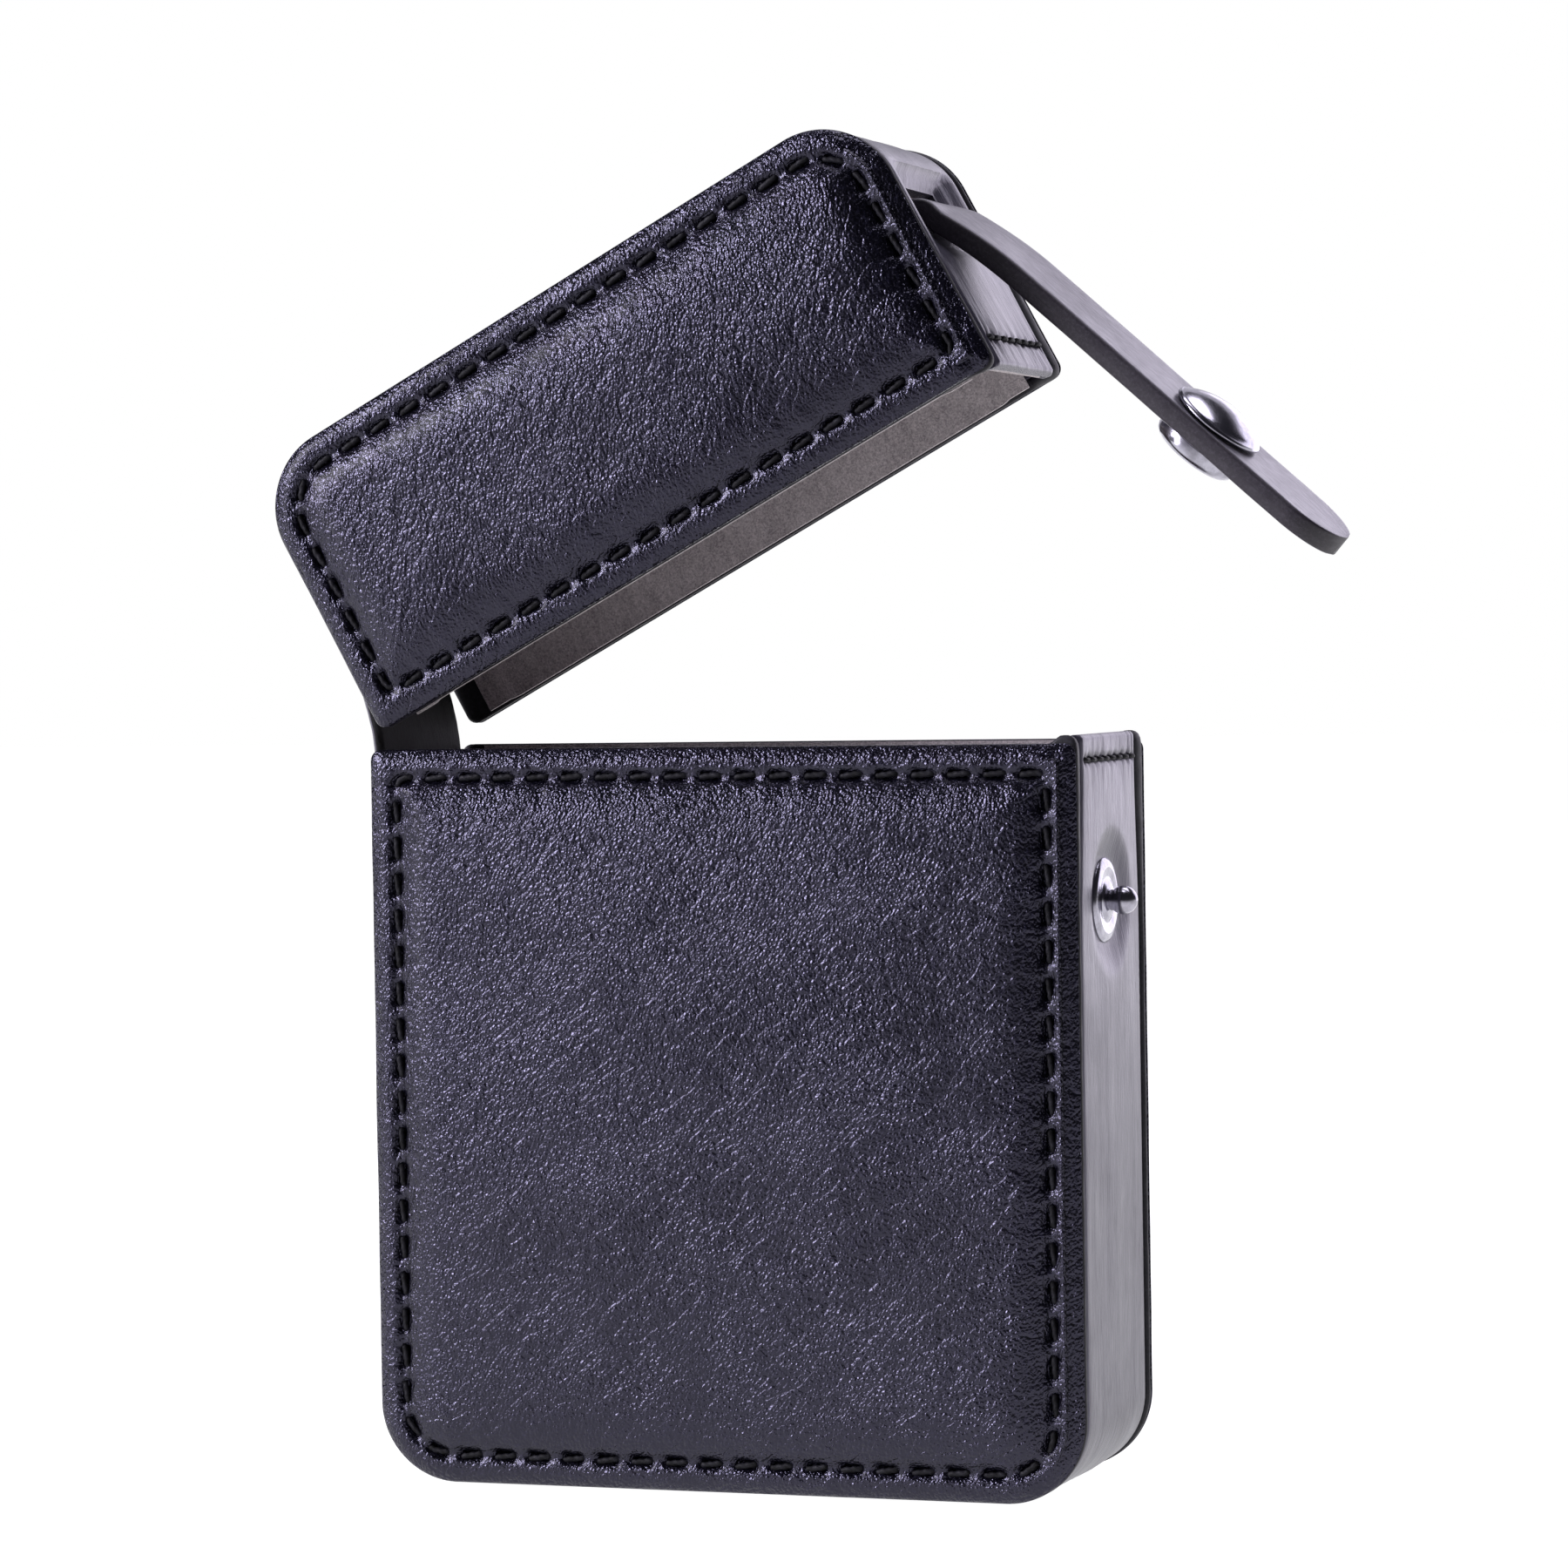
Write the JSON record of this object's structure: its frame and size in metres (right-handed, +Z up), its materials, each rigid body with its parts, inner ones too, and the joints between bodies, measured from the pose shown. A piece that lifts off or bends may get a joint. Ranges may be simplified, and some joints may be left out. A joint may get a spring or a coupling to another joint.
{
  "type": "flip-top leather case",
  "caption": "Slim hard leather case with padded stitched panels, a side gusset, a lid on a leather hinge strip at one end and a strap with a press stud at the other.",
  "frame": {"origin": "middle of the base, on the underside of the side gusset's bottom run, where the case stands", "axes": "+Z up, towards the lid; +X towards the end with the snap strap, so the hinge is at -X; -Y is the front panel"},
  "size_m": [0.1142, 0.0296, 0.1415],
  "materials": {
    "panel_leather": "waxed, glossy, fine pebble grain",
    "gusset_leather": "smooth, semi-gloss, fine creases",
    "strap_leather": "smooth, semi-gloss",
    "painted_edge": "burnished painted edge",
    "foam": "matt foam",
    "suede_lining": "brushed suede",
    "thread": "waxed thread",
    "chrome": "polished",
    "spring_steel": "drawn wire"
  },
  "bodies": {
    "body": {"body_front_leather": "panel_leather", "body_front_pad": "foam", "body_front_backing": "painted_edge", "body_front_lining": "suede_lining", "body_front_thread": "thread", "body_back_leather": "panel_leather", "body_back_pad": "foam", "body_back_backing": "painted_edge", "body_back_lining": "suede_lining", "body_back_thread": "thread", "body_gusset": "gusset_leather", "body_gusset_lining": "suede_lining", "body_mouth_thread": "thread", "snap_stud": "chrome", "snap_stud_back_cap": "chrome"},
    "hinge": {"hinge_strip": "gusset_leather"},
    "lid": {"lid_front_leather": "panel_leather", "lid_front_pad": "foam", "lid_front_backing": "painted_edge", "lid_front_lining": "suede_lining", "lid_front_thread": "thread", "lid_back_leather": "panel_leather", "lid_back_pad": "foam", "lid_back_backing": "painted_edge", "lid_back_lining": "suede_lining", "lid_back_thread": "thread", "lid_gusset": "gusset_leather", "lid_gusset_lining": "suede_lining", "lid_mouth_thread": "thread", "strap_anchor_tab": "strap_leather"},
    "strap_root": {"strap_root_outer_leather": "strap_leather", "strap_root_inner_leather": "strap_leather"},
    "strap_free": {"strap_free_outer_leather": "strap_leather", "strap_free_inner_leather": "strap_leather", "snap_cap": "chrome", "snap_post": "chrome", "snap_socket": "chrome", "snap_spring": "spring_steel"}
  },
  "joints": [
    {"name": "lid_hinge_lower", "type": "hinge", "parent": "body", "child": "hinge", "pos_m": [-0.0389, 0, 0.075], "axis": [0, -1, 0], "range_deg": [-14.2, 60.8]},
    {"name": "lid_hinge_upper", "type": "hinge", "parent": "hinge", "child": "lid", "pos_m": [-0.04238, 0, 0.08877], "axis": [0, -1, 0], "range_deg": [-14.2, 60.8]},
    {"name": "strap_root_hinge", "type": "hinge", "parent": "lid", "child": "strap_root", "pos_m": [0.02183, 0, 0.13315], "axis": [0.2882, -0.9064, -0.3088], "range_deg": [-11.85, 15]},
    {"name": "strap_bend", "type": "hinge", "parent": "strap_root", "child": "strap_free", "pos_m": [0.03163, -0.00012, 0.12626], "axis": [-0.0579, -0.9962, -0.0652], "range_deg": [-9.25, 11.7]}
  ],
  "couplings": [
    {"joint": "lid_hinge_upper", "follows": "lid_hinge_lower", "ratio": 1},
    {"joint": "strap_bend", "follows": "strap_root_hinge", "ratio": 0.78019}
  ]
}
